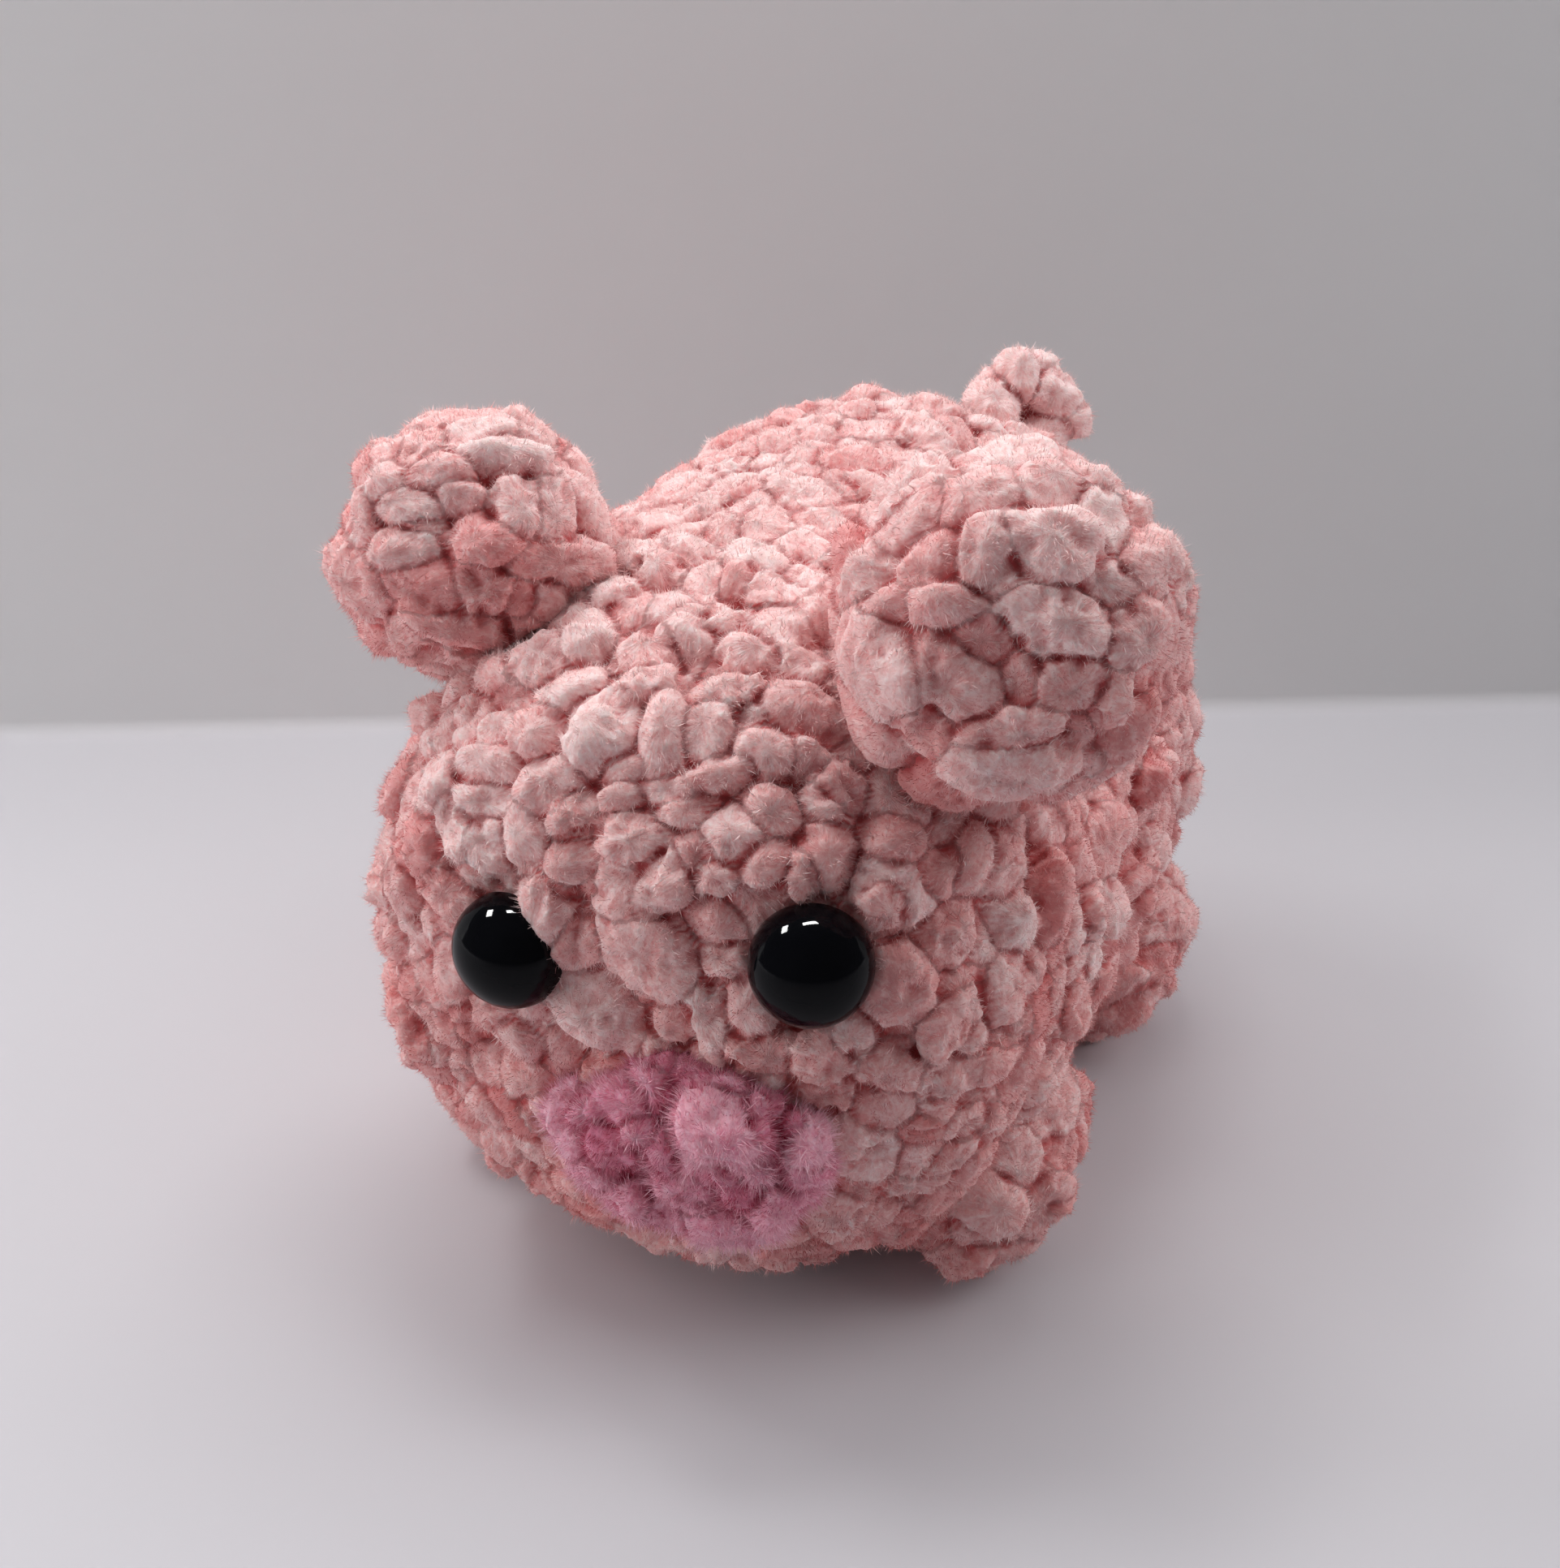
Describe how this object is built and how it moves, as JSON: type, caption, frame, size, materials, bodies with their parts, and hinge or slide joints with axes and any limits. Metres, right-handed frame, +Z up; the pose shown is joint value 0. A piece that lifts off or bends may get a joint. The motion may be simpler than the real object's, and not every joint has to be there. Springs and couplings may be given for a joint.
{
  "type": "plush pig",
  "caption": "Small crocheted plush pig with a rounded tube body, ball ears, knob feet, a curled tail, an oval snout and domed black eyes.",
  "frame": {"origin": "on the floor, under the middle of the pig's outer box", "axes": "+Z up, the pig faces -Y, its left side is +X"},
  "size_m": [0.0896, 0.1112, 0.0962],
  "materials": {
    "pink_yarn": "soft short pile of chenille yarn, crocheted in puffy stitches",
    "snout_yarn": "soft short pile of chenille yarn in a cooler, deeper pink",
    "fibrefill": "loose white polyester fibre",
    "eye_black": "polished black plastic dome",
    "washer_white": "plain moulded plastic"
  },
  "bodies": {
    "pig_body": {"body_cover": "pink_yarn", "body_stuffing": "fibrefill", "closing_knot": "pink_yarn", "eye_left": "eye_black", "eye_right": "eye_black", "eye_washer_left": "washer_white", "eye_washer_right": "washer_white", "snout": "snout_yarn", "foot_front_left": "pink_yarn", "foot_front_right": "pink_yarn", "foot_back_left": "pink_yarn", "foot_back_right": "pink_yarn"},
    "left_ear": {"ear_left": "pink_yarn", "ear_stuffing_left": "fibrefill"},
    "right_ear": {"ear_right": "pink_yarn", "ear_stuffing_right": "fibrefill"},
    "curled_tail": {"tail": "pink_yarn"}
  },
  "joints": [
    {"name": "ear_left_flop", "type": "hinge", "parent": "pig_body", "child": "left_ear", "pos_m": [0.02018, -0.02292, 0.06976], "axis": [0.785, 0.1028, -0.6109], "range_deg": [-15, 15], "stiffness_Nm_per_rad": 0.03},
    {"name": "ear_right_flop", "type": "hinge", "parent": "pig_body", "child": "right_ear", "pos_m": [-0.02553, -0.02158, 0.07093], "axis": [0.7134, 0.3828, 0.587], "range_deg": [-15, 15], "stiffness_Nm_per_rad": 0.03},
    {"name": "tail_wag", "type": "hinge", "parent": "pig_body", "child": "curled_tail", "pos_m": [0.00271, 0.04335, 0.07416], "axis": [-0.1314, 0.7774, -0.6151], "range_deg": [-25, 25], "stiffness_Nm_per_rad": 0.008}
  ]
}
